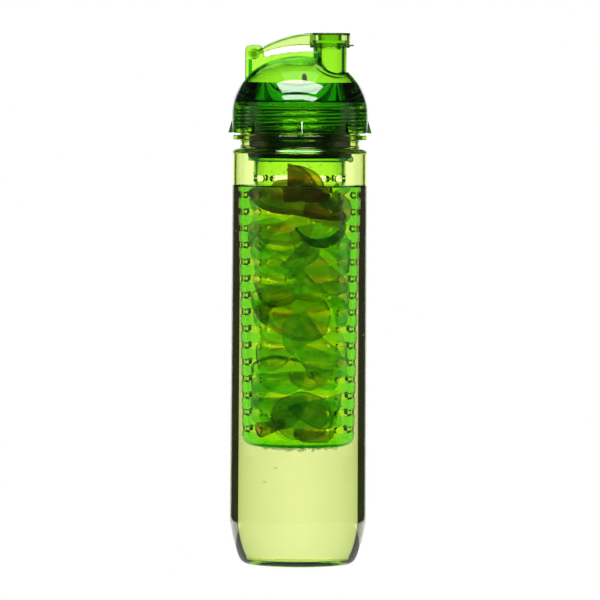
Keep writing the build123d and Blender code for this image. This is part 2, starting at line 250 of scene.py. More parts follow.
def makeWorld(s):
    world = bpy.data.worlds.new("studio")
    scene.world = world
    world.use_nodes = True
    graph = Graph(world.node_tree)
    graph.nodes.clear()
    x, y, z = graph.split(graph.add("ShaderNodeTexCoord").outputs["Generated"])
    side = graph.ramp(graph.calc("ABSOLUTE", x), *s.sideEdge, s.sideGlow)
    top = graph.ramp(z, *s.topEdge, s.topGlow)
    glow = graph.calc("MAXIMUM", side, graph.calc("MAXIMUM", top, s.darkRoom))
    unseen = graph.add("ShaderNodeBackground", {"Strength": glow})
    seen = graph.add("ShaderNodeBackground", {"Color": (*s.backdrop, 1)})
    path = graph.add("ShaderNodeLightPath").outputs["Is Camera Ray"]
    graph.add("ShaderNodeOutputWorld", {"Surface": graph.mixShaders(path, unseen, seen)})


def makeFloor(s):
    outline = [(0.0, s.floorLow), (s.floorRadius, s.floorLow), (s.floorRadius, s.floorTop), (0.0, s.floorTop)]
    mesh = latheMesh("floor", outline, s.floorSides)
    material, graph = newMaterial("paleFloor")
    surface = graph.surface({"Base Color": (*[s.floorTone] * 3, 1), "Roughness": s.floorRough})
    reach = graph.size(graph.add("ShaderNodeTexCoord").outputs["Object"])
    near = graph.add("ShaderNodeMapRange", {
        "Value": reach, "From Min": s.shineRadius + s.shineFade, "From Max": s.shineRadius,
        "To Max": s.floorShine,
    }).outputs["Result"]
    path = graph.add("ShaderNodeLightPath").outputs
    values = {0: path["Is Reflection Ray"], 1: near, 2: path["Is Camera Ray"]}
    seen = graph.add("ShaderNodeMath", values, operation="MULTIPLY_ADD", use_clamp=True).outputs[0]
    shown = graph.mixShaders(seen, surface, graph.add("ShaderNodeEmission"))
    graph.put(graph.nodes["Material Output"], {"Surface": shown})
    mesh.materials.append(material)
    linked("floor", mesh)


def makeFlag(s):
    # a black card above the bottle's foot keeps the overhead lamps off it
    x, near, far, z = s.cardHalf, s.cardNear, s.cardFar, s.cardHeight
    mesh = newMesh("flag", [(-x, near, z), (x, near, z), (x, far, z), (-x, far, z)], [(0, 1, 2, 3)])
    material, graph = newMaterial("blackCard")
    graph.surface({"Base Color": (*[s.cardTone] * 3, 1), "Roughness": 1.0, "Specular IOR Level": 0.0})
    mesh.materials.append(material)
    flag = linked("flag", mesh)
    flag.visible_camera = False


def makeLamps():
    for name, lamp in lamps.items():
        data = bpy.data.lights.new(name, "AREA")
        data.shape = "RECTANGLE"
        data.size, data.size_y = lamp["size"]
        data.energy = lamp["glow"] * math.pi * data.size * data.size_y
        data.spread = math.radians(lamp.get("spread", 180.0))
        light = linked(name, data)
        light.location = lamp["place"]
        tilt, spin = lamp["turn"]
        light.rotation_euler = (math.radians(tilt), 0.0, math.radians(spin))
        light.visible_camera = False
        light.visible_diffuse = lamp.get("diffuse", False)


def makeStudio():
    s = SimpleNamespace(**studio)
    makeWorld(s)
    makeFloor(s)
    makeFlag(s)
    makeLamps()
    scene.view_settings.view_transform = "Standard"
    scene.cycles.max_bounces = s.bounces
    scene.cycles.transmission_bounces = s.bounces
    scene.cycles.glossy_bounces = s.glossyBounces
    scene.cycles.transparent_max_bounces = s.clearBounces


makeStudio()
print("studio lit")


# Clear materials: loss is the absorption per metre of red, green and blue
finishes = {
    "clearBottle": {"loss": (66.0, 23.0, 262.0), "ior": 1.52, "rough": 0.006, "grain": 60.0},
    "clearLid": {"loss": (310.0, 80.0, 950.0), "ior": 1.55, "rough": 0.01, "grain": 80.0},
    "clearCap": {"loss": (190.0, 90.0, 500.0), "ior": 1.55, "rough": 0.01, "grain": 120.0, "wave": 1e-6},
    "airBubble": {"loss": (1.0, 1.0, 1.0), "ior": 0.75},
    "dryBasket": {"loss": (175.0, 18.0, 700.0), "ior": 1.5, "rough": 0.01, "grain": 90.0, "wave": 1.5e-6},
    "wetBasket": {"loss": (260.0, 34.0, 1900.0), "ior": 1.13, "rough": 0.01, "grain": 90.0, "wave": 3e-6},
    "stillWater": {"loss": (2.5, 3.2, 4.0), "ior": 1.333},
    "softSeal": {"loss": (90.0, 8.0, 400.0), "ior": 1.42, "rough": 0.2, "grain": 400.0, "wave": 1e-5},
}
# painted shade: shadedLid and shadedCap are the clear finishes with a dark shade tint on their colour
finishes["shadedLid"] = {**finishes["clearLid"], "shadeTint": (0.07, 0.13, 0.06)}
finishes["shadedCap"] = {**finishes["clearCap"], "shadeTint": (0.1, 0.2, 0.08)}
cloud = {"edges": (0.3, 0.7), "detail": 3.0, "roughShares": (0.5, 1.5), "bump": 0.5}
rubber = {
    "light": (0.006, 0.03, 0.003), "dark": (0.002, 0.012, 0.001), "grain": 600.0, "rough": 0.5, "shine": 0.1,
}


def clearMaterial(name):
    finish = finishes[name]
    material, graph = newMaterial(name)
    surface = graph.surface({
        "Base Color": (*finish.get("shadeTint", (1, 1, 1)), 1), "Transmission Weight": 1.0,
        "IOR": finish["ior"], "Roughness": 0.0,
    })
    if "rough" in finish:
        low, high = cloud["edges"]
        least, most = [finish["rough"] * share for share in cloud["roughShares"]]
        rough = graph.add("ShaderNodeMapRange", {
            "Value": graph.noise(finish["grain"], cloud["detail"]), "From Min": low, "From Max": high,
            "To Min": least, "To Max": most,
        })
        graph.put(surface, {"Roughness": rough.outputs["Result"]})
    if "wave" in finish:
        bump = graph.add("ShaderNodeBump", {
            "Distance": finish["wave"], "Strength": cloud["bump"], "Height": graph.noise(finish["grain"]),
        })
        graph.put(surface, {"Normal": bump.outputs["Normal"]})
    graph.absorb(finish["loss"])
    return material


def rubberMaterial(name):
    material, graph = newMaterial(name)
    graph.surface({
        "Base Color": graph.mix(graph.noise(rubber["grain"]), rubber["light"], rubber["dark"]),
        "Roughness": rubber["rough"], "Specular IOR Level": rubber["shine"],
    })
    return material


materials = {name: clearMaterial(name) for name in finishes}
materials["darkRubber"] = rubberMaterial("darkRubber")
print("materials made")


# Geometry Nodes groups, each run on a mesh and taken back as a plain mesh
def groupGraph(name, floats, ints=()):
    tree = bpy.data.node_groups.new(name, "GeometryNodeTree")
    sockets = [("Geometry", "Geometry"), ("Material", "Material")]
    sockets += [(key, "Float") for key in floats] + [(key, "Int") for key in ints]
    for key, kind in sockets:
        tree.interface.new_socket(key, in_out="INPUT", socket_type="NodeSocket" + kind)
    tree.interface.new_socket("Geometry", in_out="OUTPUT", socket_type="NodeSocketGeometry")
    graph = Graph(tree)
    return tree, graph, graph.add("NodeGroupInput").outputs


def endGroup(graph, geometry, material):
    whole = graph.add("GeometryNodeRealizeInstances", {0: geometry}).outputs[0]
    painted = graph.add("GeometryNodeSetMaterial", {"Geometry": whole, "Material": material}).outputs[0]
    graph.add("NodeGroupOutput", {0: painted})


def plainMesh(holder, name):
    view = bpy.context.evaluated_depsgraph_get()
    made = bpy.data.meshes.new_from_object(holder.evaluated_get(view), depsgraph=view)
    made.name = name
    holder.modifiers.clear()
    bpy.data.objects.remove(holder)
    return made


def runTree(tree, mesh, inputs):
    holder = linked(mesh.name + "Work", mesh)
    modifier = holder.modifiers.new("nodes", "NODES")
    modifier.node_group = tree
    for item in tree.interface.items_tree:
        if item.in_out == "INPUT" and item.name in inputs:
            modifier[item.identifier] = inputs[item.name]
    return plainMesh(holder, mesh.name)


# Screw threads: points of a smooth wall are pushed in or out along a helix
threadForm = {"Lead": 0.0035, "Fade": 0.0012, "Tolerance": 0.0002}
singleStart = {"Starts": 1.0, "Root": 0.42, "Crest": 0.08}
doubleStart = {"Starts": 2.0, "Root": 0.47, "Crest": 0.03}
threads = {
    "neck": {**singleStart, "Height": 0.0011, "Low": 0.2172, "High": 0.2272, "Turn": 0.0},
    "lid": {**singleStart, "Height": -0.0008, "Low": 0.2168, "High": 0.2276, "Turn": 0.5},
    "skirt": {**doubleStart, "Height": 0.0011, "Low": 0.2045, "High": 0.2182, "Turn": 0.0},
    "basketNeck": {**doubleStart, "Height": 0.0010, "Low": 0.2062, "High": 0.2168, "Turn": 0.0},
}


def threadTree():
    names = [*threadForm, *threads["neck"], "Wall Radius"]
    tree, graph, given = groupGraph("screwThread", names)
    calc, ramp = graph.calc, graph.ramp
    x, y, z = graph.split(graph.add("GeometryNodeInputPosition").outputs[0])
    radius = calc("SQRT", calc("ADD", calc("MULTIPLY", x, x), calc("MULTIPLY", y, y)))
    turns = calc("DIVIDE", calc("ARCTAN2", y, x), 2 * math.pi)
    climb = calc("SUBTRACT", calc("DIVIDE", z, given["Lead"]), turns)
    climb = calc("MULTIPLY", calc("ADD", climb, given["Turn"]), given["Starts"])
    phase = calc("ABSOLUTE", calc("SUBTRACT", calc("FRACT", climb), 0.5))
    ridge = ramp(phase, given["Root"], given["Crest"])
    low, high, fade = given["Low"], given["High"], given["Fade"]
    begun = ramp(z, low, calc("ADD", low, fade))
    inside = calc("MULTIPLY", begun, ramp(z, high, calc("SUBTRACT", high, fade)))
    offWall = calc("ABSOLUTE", calc("SUBTRACT", radius, given["Wall Radius"]))
    onWall = calc("LESS_THAN", offWall, given["Tolerance"])
    push = calc("MULTIPLY", calc("MULTIPLY", ridge, inside), calc("MULTIPLY", onWall, given["Height"]))
    offset = graph.join(*[calc("MULTIPLY", calc("DIVIDE", way, radius), push) for way in (x, y)])
    moved = graph.add("GeometryNodeSetPosition", {"Geometry": given["Geometry"], "Offset": offset})
    endGroup(graph, moved.outputs[0], given["Material"])
    return tree


screwThread = threadTree()


def cutThread(mesh, name, wallRadius, paint):
    inputs = {**threadForm, **threads[name], "Wall Radius": wallRadius, "Material": materials[paint]}
    return runTree(screwThread, mesh, inputs)


# Bottle body
bottle = {
    "footRadius": 0.0343, "topRadius": 0.0338, "height": 0.20775, "wall": 0.002,
    "baseCurve": 0.046, "baseCurveHeight": 0.024, "baseCorner": 0.005,
    "floor": 0.003, "floorCorner": 0.006, "standingRing": 0.0034, "punt": 0.001,
    "shoulderRound": 0.0021, "neckRadius": 0.0301, "neckWall": 0.002, "mouth": 0.2285,
    "collarLow": 0.21215, "collarHigh": 0.2145, "collarRadius": 0.0338, "edge": 0.0005,
    "sides": 256, "curveSteps": 20, "wallSteps": 24, "neckSteps": 56,
}


def baseCurve(inset, cornerRadius, low):
    # the base's round corner and the long curve above it, moved inwards by the inset
    b = SimpleNamespace(**bottle)
    curve, centre = b.baseCurve - inset, b.footRadius - inset - (b.baseCurve - inset)
    drop = b.baseCurveHeight - (low + cornerRadius)
    reach = curve - cornerRadius
    cornerCentre = centre + math.sqrt(reach**2 - drop**2)
    meet = -math.degrees(math.asin(drop / reach))
    return (arcPoints((cornerCentre, low + cornerRadius), cornerRadius, -90, meet, b.curveSteps)
            + arcPoints((centre, b.baseCurveHeight), curve, meet, 0, b.curveSteps))


def makeBottle():
    b = SimpleNamespace(**bottle)
    e = b.edge
    outer = baseCurve(0.0, b.baseCorner, 0.0)
    punt = outer[0][0] - b.standingRing
    line = [(0.0, b.punt), (punt - 2 * b.punt, b.punt)]
    line += arcPoints((punt, b.punt), b.punt, 180, 270, 5)
    line += outer
    line += rowPoints((b.footRadius, b.baseCurveHeight), (b.topRadius, b.height - b.shoulderRound),
                      b.wallSteps)
    line += corner((b.topRadius, b.height), b.shoulderRound, 1, 10)
    line += corner((b.neckRadius, b.height), 2 * e, 3, 5, hollow=True)
    line += corner((b.neckRadius, b.collarLow), e, 2, hollow=True)
    line += corner((b.collarRadius, b.collarLow), e, 0)
    line += corner((b.collarRadius, b.collarHigh), e, 1)
    line += corner((b.neckRadius, b.collarHigh), e, 3, hollow=True)
    line += rowPoints((b.neckRadius, b.collarHigh + 2 * e), (b.neckRadius, b.mouth - e), b.neckSteps)
    line += corner((b.neckRadius, b.mouth), e, 1)
    bore, top, side = b.neckRadius - b.neckWall, b.height - b.wall, b.topRadius - b.wall
    line += corner((bore, b.mouth), e, 2)
    line += rowPoints((bore, b.mouth - 2 * e), (bore, top + 2 * e), 10)
    line += corner((bore, top), e, 3, 5)
    line += corner((side, top), e, 1, 5, hollow=True)
    line += rowPoints((side, top - 2 * e), (b.footRadius - b.wall, b.baseCurveHeight), b.wallSteps)
    line += baseCurve(b.wall, b.floorCorner, b.floor)[::-1]
    line += [(0.0, b.floor)]
    mesh = cutThread(latheMesh("bottleShell", line, b.sides), "neck", b.neckRadius, "clearBottle")
    smoothMesh(mesh)
    addPiece("bottleShell", mesh, "bottle", ["clearBottle"], "bottle_body")


makeBottle()
print("bottle made")


# Water, lapping a little into the bottle's wall so that no air film is left between them
water = {"level": 0.1887, "lap": 0.00012, "meniscus": 0.0008, "spread": 3, "rimSteps": 8, "sideSteps": 20}


def makeWater():
    b, w = SimpleNamespace(**bottle), SimpleNamespace(**water)
    foot = b.footRadius - b.wall + w.lap
    share = (w.level - b.baseCurveHeight) / (b.height - b.baseCurveHeight)
    side = foot + (b.topRadius - b.footRadius) * share
    line = [(0.0, b.floor - w.lap)] + baseCurve(b.wall - w.lap, b.floorCorner + w.lap, b.floor - w.lap)
    line += rowPoints((foot, b.baseCurveHeight), (side, w.level + w.meniscus), w.sideSteps)
    for step in range(1, w.rimSteps):
        share = step / w.rimSteps
        line.append((side - w.spread * w.meniscus * share, w.level + w.meniscus * (1 - share) ** 3))
    line.append((0.0, w.level))
    mesh = latheMesh("water", line, b.sides)
    smoothMesh(mesh, 50)
    addPiece("water", mesh, "bottle", ["stillWater"])


makeWater()
print("water poured")


# Solids cut from and added to one another
def insetOutline(outline, inset):
    moved = []
    for index, point in enumerate(outline):
        before, after = Vector(outline[index - 1]), Vector(outline[(index + 1) % len(outline)])
        here = Vector(point)
        first, second = (here - before).normalized(), (after - here).normalized()
        inward = Vector((-first.y - second.y, first.x + second.x))
        share = max(inward.length_squared / 2, 0.35)
        moved.append(tuple(here + inward * inset / share))
    return moved


def prismMesh(name, outline, low, high, bend=0.0):
    # an outline in (x, z), drawn out along Y, with its two rims rounded by the bend
    outline = cleanOutline(outline)
    area = sum(x0 * z1 - x1 * z0 for (x0, z0), (x1, z1) in zip(outline, outline[1:] + outline[:1]))
    if area < 0:
        outline = outline[::-1]
    count = len(outline)
    rings = [(low, 0.0), (high, 0.0)]
    if bend > 0:
        turns = [math.radians(90 * step / 4) for step in range(5)]
        start = [(low + bend * (1 - math.sin(turn)), bend * (1 - math.cos(turn))) for turn in turns[::-1]]
        rings = start + [(high + low - place, inset) for place, inset in reversed(start)]
    vertices = [(x, y, z) for y, inset in rings for x, z in insetOutline(outline, inset)]
    last = (len(rings) - 1) * count
    faces = [list(range(count)), list(range(last + count - 1, last - 1, -1))]
    for ring in range(len(rings) - 1):
        start = ring * count
        for index in range(count):
            after = (index + 1) % count
            faces.append([start + after, start + index, start + count + index, start + count + after])
    return newMesh(name, vertices, faces)


def rodMesh(name, centre, radius, low, high, sides):
    # a rod along Y round the (x, z) centre
    return prismMesh(name, arcPoints(centre, radius, 0, 360, sides)[:-1], low, high)


def combine(name, base, steps):
    holder = linked(name + "Work", base)
    tools = []
    for operation, mesh in steps:
        tool = linked(name + "Tool", mesh)
        tools.append(tool)
        modifier = holder.modifiers.new("cut", "BOOLEAN")
        modifier.operation = operation
        modifier.solver = "MANIFOLD"
        modifier.object = tool
    made = plainMesh(holder, name)
    for spare in tools:
        bpy.data.objects.remove(spare)
    made.materials.clear()
    return made


def tangentArc(crest, end, steps):
    # from the crest, level there, down to the end
    across, drop = end[0] - crest[0], crest[1] - end[1]
    radius = (across**2 + drop**2) / (2 * drop)
    centre = (crest[0], crest[1] - radius)
    turn = math.degrees(math.atan2(end[1] - centre[1], end[0] - centre[0]))
    return arcPoints(centre, radius, 90, turn, steps)


# Lid
lid = {
    "rim": 0.2155, "bore": 0.0321, "radius": 0.0341, "wall": 0.002, "seat": 0.231, "ledge": 0.2401,
    "sideCentre": (0.0061, 0.2247), "sideCurve": 0.028, "topCentre": 0.21100, "topCurve": 0.043,
    "skirt": 0.0255, "skirtBore": 0.0232, "skirtEnd": 0.2060, "threadEnd": 0.2190, "edge": 0.0004,
    "spoutX": 0.01475, "spout": 0.0084, "spoutBore": 0.0063, "spoutFoot": 0.2440, "spoutTop": 0.2605,
    "spoutEdge": 0.0006, "boreFoot": 0.2400, "boreEnd": 0.262,
    "scoop": (0.0196, 0.25825), "scoopRadius": 0.0128,
    "hinge": (-0.0230, 0.2548), "pin": 0.0016, "pinPlay": 0.00002, "pinHalf": 0.0076,
    "ribY": 0.0060, "ribThickness": 0.0016, "ribCrest": (0.00425, 0.2562), "ribFoot": (0.00505, -0.0014),
    "ribLift": 0.0004, "lugTop": 0.0045, "lugBack": 0.00445, "lugFront": 0.0018, "lugRound": 0.0026,
    "stopBack": 0.0028, "stopFront": 0.00105, "stopTop": 0.00265,
    "lugAngle": 12, "flareAngle": 100, "fins": 8, "finReach": 0.0017, "finHeight": 0.006, "finWidth": 0.0035,
    "finRoot": 0.001, "finLift": 0.00005, "toolPast": 0.002, "hollowPast": 0.001,
    "sides": 256, "seatSteps": 70, "skirtSteps": 84, "domeSteps": 28, "smallSides": 48,
}
# painted shade: the skirt, the stop plate and the fins at the sides get a dark tint on their colour, which
# stands in for the shade seen there
lidShade = {
    "skirtTop": 0.2183, "skirtRadius": 0.0257, "finPast": 0.00002,
    "stopReach": 0.001, "stopMiddle": 0.0019, "stopLow": 0.004,
}


def domeArcs(inset, fromHeight):
    # the dome's outline from a height on its side up to its top, moved inwards by the inset
    k = SimpleNamespace(**lid)
    side, top = k.sideCurve - inset, k.topCurve - inset
    start = math.degrees(math.asin((fromHeight - k.sideCentre[1]) / side))
    join = math.degrees(math.atan2(k.sideCentre[1] - k.topCentre, k.sideCentre[0]))
    line = arcPoints(k.sideCentre, side, start, join, k.domeSteps)
    return line + arcPoints((0.0, k.topCentre), top, join, 90, k.domeSteps)


def lidSolid(k):
    e = k.edge
    line = [(0.0, k.skirtEnd)] + corner((k.skirt, k.skirtEnd), e, 0)
    line += rowPoints((k.skirt, k.skirtEnd + 2 * e), (k.skirt, k.seat - 2 * e), 6)
    line += corner((k.skirt, k.seat), e, 2, hollow=True) + corner((k.bore, k.seat), e, 1, hollow=True)
    line += rowPoints((k.bore, k.seat - 2 * e), (k.bore, k.rim + e), k.seatSteps)
    line += corner((k.bore, k.rim), e, 3) + corner((k.radius, k.rim), e, 0)
    line += rowPoints((k.radius, k.rim + 2 * e), (k.radius, k.sideCentre[1]), 4)
    line += domeArcs(0.0, k.sideCentre[1])
    return cutThread(latheMesh("lidSolid", line, k.sides), "lid", k.bore, "clearLid")


def lidHollow(k, reach):
    below = k.skirtEnd - k.hollowPast
    line = [(0.0, below), (k.skirtBore, below)]
    line += rowPoints((k.skirtBore, k.skirtEnd), (k.skirtBore, k.threadEnd), k.skirtSteps)
    line += rowPoints((k.skirtBore, k.threadEnd), (k.skirtBore, k.ledge), 8)[1:]
    line += domeArcs(k.wall, k.ledge)
    hollow = cutThread(latheMesh("lidHollow", line, k.sides), "skirt", k.skirtBore, "clearLid")
    wideScoop = rodMesh("wideScoop", k.scoop, k.scoopRadius + k.wall, -reach, reach, k.sides)
    return combine("lidHollow", hollow, [("DIFFERENCE", wideScoop)])


def lidSpout(k):
    line = [(0.0, k.spoutFoot), (k.spout, k.spoutFoot), (k.spout, k.spoutTop - k.spoutEdge)]
    line += corner((k.spout, k.spoutTop), k.spoutEdge, 1, 5) + [(0.0, k.spoutTop)]
    return latheMesh("spout", line, k.sides // 2, k.spoutX)


def spoutBore(k):
    f = k.spoutEdge
    line = [(0.0, k.boreFoot), (k.spoutBore, k.boreFoot), (k.spoutBore, k.spoutTop - f)]
    line += arcPoints((k.spoutBore + f, k.spoutTop - f), f, 180, k.flareAngle, 4)
    line += [(k.spoutBore + f, k.boreEnd), (0.0, k.boreEnd)]
    return latheMesh("spoutBore", line, k.sides // 2, k.spoutX)


def lidHinge(k):
    # two ribs that end in the hinge lugs, and the stop plate between them
    base = k.ledge + k.ribLift
    x, z = k.hinge
    top, back = z + k.lugTop - k.lugRound, x - k.lugBack
    rib = [(k.spoutX, base), (k.spoutX, k.ribCrest[1])]
    rib += tangentArc(k.ribCrest, (x + k.ribFoot[0], z + k.ribFoot[1]), k.domeSteps)
    rib += arcPoints((x + k.lugFront, top), k.lugRound, k.lugAngle, 90, 6)
    rib += arcPoints((back + k.lugRound, top), k.lugRound, 90, 180, 8) + [(back, base)]
    half = k.ribThickness / 2
    parts = [prismMesh("rib", rib, side * k.ribY - half, side * k.ribY + half, k.edge) for side in (-1, 1)]
    back, front, high = x - k.stopBack, x - k.stopFront, z - k.stopTop
    stop = [(back, base), (front, base), (front, high), (back, high)]
    return parts + [prismMesh("stop", stop, -k.ribY, k.ribY)]


def lidFins(k):
    root, tip, low = k.radius - k.finRoot, k.radius + k.finReach, k.rim + k.finLift
    high = low + k.finHeight
    line = [(root, low), (tip, low), (k.radius, high), (root, high)]
    fins = []
    for number in range(k.fins):
        fin = prismMesh("fin", line, -k.finWidth / 2, k.finWidth / 2, k.edge)
        fin.transform(Matrix.Rotation(math.radians(number * 360 / k.fins), 4, "Z"))
        fins.append(fin)
    return fins


def shadeLid(mesh, k):
    s = SimpleNamespace(**lidShade)
    # painted shade: faces of the skirt, the stop plate and the two side fins take the dark shadedLid tint
    for face in mesh.polygons:
        x, y, z = face.center
        onSkirt = math.hypot(x, y) < s.skirtRadius and z < s.skirtTop
        onFin = abs(x) > k.radius + s.finPast and z < k.rim + k.finHeight
        onStop = (abs(x - k.hinge[0] + s.stopMiddle) < s.stopReach and abs(y) < k.ribY - k.ribThickness / 2
                  and z > k.ledge + s.stopLow)
        face.material_index = 1 if onSkirt or onFin or onStop else 0


def makeLid():
    k = SimpleNamespace(**lid)
    reach = k.radius + k.toolPast
    steps = [("DIFFERENCE", rodMesh("scoop", k.scoop, k.scoopRadius, -reach, reach, k.sides))]
    steps += [("UNION", part) for part in [lidSpout(k)] + lidHinge(k) + lidFins(k)]
    pinHole = rodMesh("pinHole", k.hinge, k.pin + k.pinPlay, -reach, reach, k.smallSides)
    steps += [("DIFFERENCE", tool) for tool in (lidHollow(k, reach), spoutBore(k), pinHole)]
    mesh = combine("lidShell", lidSolid(k), steps)
    smoothMesh(mesh, 28)
    addPiece("lidShell", mesh, "lid", ["clearLid", "shadedLid"], "lid")
    shadeLid(mesh, k)
    pin = rodMesh("hingePin", k.hinge, k.pin, -k.pinHalf, k.pinHalf, k.smallSides)
    smoothMesh(pin)
    addPiece("hingePin", pin, "lid", ["clearCap"], "hinge_pin")


makeLid()
print("lid made")


# Flip cap
cap = {
    "radius": 0.0102, "bore": 0.0087, "low": 0.2581, "ceiling": 0.2643, "top": 0.2655, "edge": 0.0004,
    "crest": (0.00925, 0.2655), "lowCrest": (0.00225, 0.2593), "knuckle": 0.0026, "knuckleSides": 64,
    "pinBore": 0.00166, "pinReach": 0.01, "pinSides": 48,
    "armTop": (0.4, 0.6), "armLow": (0.78, -0.12), "armHalf": 0.0057, "armWall": 0.0015, "armEdge": 0.0005,
    "armSink": 0.00002, "knuckleSink": 0.00003, "plate": 0.0012,
    "boss": 0.0046, "socketWall": 0.0014, "socketLow": 0.2618,
    "tabRoot": 0.009, "tabReach": 0.0016, "tabHalf": 0.005, "tabLow": 0.2589, "tabHigh": 0.2597,
    "tabEdge": 0.0003,
    "armSteps": 40, "sides": 160, "spare": 0.001, "shadePast": 0.00005, "shadeRim": 0.0006,
}


def capArm(k):
    # the arm's outline, and the channel under it; armTop and armLow are shares of the knuckle's radius
    x, z = lid["hinge"]
    n = k.knuckle
    endTop, endLow = [(x + across * n, z + rise * n) for across, rise in (k.armTop, k.armLow)]
    arm = tangentArc(k.crest, endTop, k.armSteps) + tangentArc(k.lowCrest, endLow, k.armSteps)[::-1]
    arm += [(lid["spoutX"], k.lowCrest[1]), (lid["spoutX"], k.top - k.armSink)]
    arm[0] = (k.crest[0], k.top - k.armSink)
    underEnd = (endTop[0] + k.plate, endTop[1] - k.plate / 2)
    channel = tangentArc((k.crest[0], k.top - k.plate), underEnd, k.armSteps)
    far, under = x - n - k.spare, k.low - 2 * n
    channel += [(far, underEnd[1] + n), (far, under), (k.crest[0], under)]
    half = k.armHalf - k.armWall
    solid = prismMesh("arm", arm, -k.armHalf, k.armHalf, k.armEdge)
    return solid, prismMesh("channel", channel, -half, half)


def makeCap():
    k = SimpleNamespace(**cap)
    spoutX = lid["spoutX"]
    solid, channel = capArm(k)
    reach = k.armHalf - k.knuckleSink
    knuckle = rodMesh("knuckle", lid["hinge"], k.knuckle, -reach, reach, k.knuckleSides)
    drum = [(0.0, k.low), (k.radius - k.edge, k.low)] + corner((k.radius, k.low), k.edge, 0)
    drum += corner((k.radius, k.top), k.edge, 1) + [(0.0, k.top)]
    root, tip = spoutX + k.tabRoot, spoutX + k.radius + k.tabReach
    tab = [(root, k.tabLow), (tip, k.tabLow), (tip, k.tabHigh), (root, k.tabHigh)]
    below, socket = k.low - k.spare, k.boss + k.socketWall
    room = [(0.0, below), (k.bore, below), (k.bore, k.ceiling), (socket, k.ceiling), (socket, k.socketLow),
            (k.boss, k.socketLow), (k.boss, k.ceiling), (0.0, k.ceiling)]
    mesh = combine("capShell", solid, [
        ("UNION", knuckle),
        ("DIFFERENCE", channel),
        ("UNION", latheMesh("drum", drum, k.sides, spoutX)),
        ("UNION", prismMesh("tab", tab, -k.tabHalf, k.tabHalf, k.tabEdge)),
        ("DIFFERENCE", latheMesh("room", room, k.sides, spoutX)),
        ("DIFFERENCE", rodMesh("pinHole", lid["hinge"], k.pinBore, -k.pinReach, k.pinReach, k.pinSides)),
    ])
    smoothMesh(mesh, 28)
    addPiece("capShell", mesh, "cap", ["clearCap", "shadedCap"], "flip_cap")
    # painted shade: the thumb tab and the rim of the top plate take the dark shadedCap tint
    for face in mesh.polygons:
        x, y, z = face.center
        onTab = x > spoutX + k.radius + k.shadePast
        onRim = math.hypot(x - spoutX, y) > k.radius - k.shadeRim and z > k.ceiling and x > spoutX
        face.material_index = 1 if onTab or onRim else 0


makeCap()
print("cap made")


# Seals, plug and vent valve
sealRings = {
    # form: inner and outer radius, low and high end, edge
    "lidSeal": {"form": (0.0258, 0.0318, 0.2285, 0.2310, 0.0005), "body": "lid_gasket",
                "paint": "softSeal", "node": "lid_seal"},
    "skirtRing": {"form": (0.0258, 0.0278, 0.2171, 0.2195, 0.0007), "body": "skirt_ring",
                  "paint": "softSeal", "node": "skirt_ring"},
    "basketSeal": {"form": (0.0232, 0.0260, 0.2030, 0.2060, 0.0009), "body": "basket_gasket",
                   "paint": "darkRubber", "node": "basket_seal"},
}
plug = {"lipTop": (0.0045, 0.0060), "lipFoot": (0.0041, 0.0056), "lipLow": 0.2571}
# the valve is drawn out along the dome's slope, as the photograph's drop shape is
valve = {"along": 2.0, "across": 0.75, "nearest": 2e-6}


def addTurned(name, outline, body, paint, nodeName, sides=192, centreX=0.0):
    mesh = latheMesh(name, outline, sides, centreX)
    smoothMesh(mesh)
    addPiece(name, mesh, body, [paint], nodeName)


def makeSeals():
    for name, ring in sealRings.items():
        inner, outer, low, high, edge = ring["form"]
        places = ((outer, low), (outer, high), (inner, high), (inner, low))
        outline = [point for quarter, place in enumerate(places) for point in corner(place, edge, quarter, 5)]
        addTurned(name, outline, ring["body"], ring["paint"], ring["node"])


def makePlug():
    p, c = SimpleNamespace(**plug), SimpleNamespace(**cap)
    low, outer = lid["spoutTop"], lid["spout"]
    outline = [(0.0, low), (p.lipTop[0], low), (p.lipFoot[0], p.lipLow), (p.lipFoot[1], p.lipLow),
               (p.lipTop[1], low), (outer, low), (outer, c.socketLow), (c.boss, c.socketLow),
               (c.boss, c.ceiling), (0.0, c.ceiling)]
    addTurned("spoutPlug", outline, "cap", "softSeal", "spout_plug", 128, lid["spoutX"])


def makeValve():
    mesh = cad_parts["vent_valve"].data.copy()
    mesh.name = "ventValve"
    work = bmesh.new()
    work.from_mesh(mesh)
    bmesh.ops.remove_doubles(work, verts=work.verts, dist=valve["nearest"])
    work.to_mesh(mesh)
    work.free()
    smoothMesh(mesh, 30)
    middle = sum((vertex.co for vertex in mesh.vertices), Vector()) / len(mesh.vertices)
    outward = Vector((middle.x, middle.y, middle.z - lid["sideCentre"][1])).normalized()
    tangent = Vector((-middle.y, middle.x, 0.0)).normalized()
    along = Matrix.Scale(valve["along"], 4, outward.cross(tangent))
    stretch = along @ Matrix.Scale(valve["across"], 4, tangent)
    mesh.transform(Matrix.Translation(middle) @ stretch @ Matrix.Translation(-middle))
    addPiece("ventValve", mesh, "lid", ["darkRubber"], "vent_valve")


makeSeals()
makePlug()
makeValve()
print("seals made")


# Basket: one cell of slotted wall is repeated and wrapped on the tapered cup
basket = {
    "topRadius": 0.02315, "footRadius": 0.0210, "flangeLow": 0.2015, "flangeHigh": 0.2030,
    "foot": 0.0590, "wall": 0.0018, "corner": 0.005, "flangeRadius": 0.0260, "edge": 0.0003,
    "neckRadius": 0.0229, "neckTop": 0.2170, "neckSteps": 88,
    "rows": 16, "columns": 8, "pitch": 0.00835, "slotHeight": 0.0032, "slotWidth": 0.0132,
    "topMargin": 0.0086, "flatSteps": 6, "cornerSteps": 3, "sideSteps": 4, "slotRim": 0.12, "nearest": 3e-6,
}


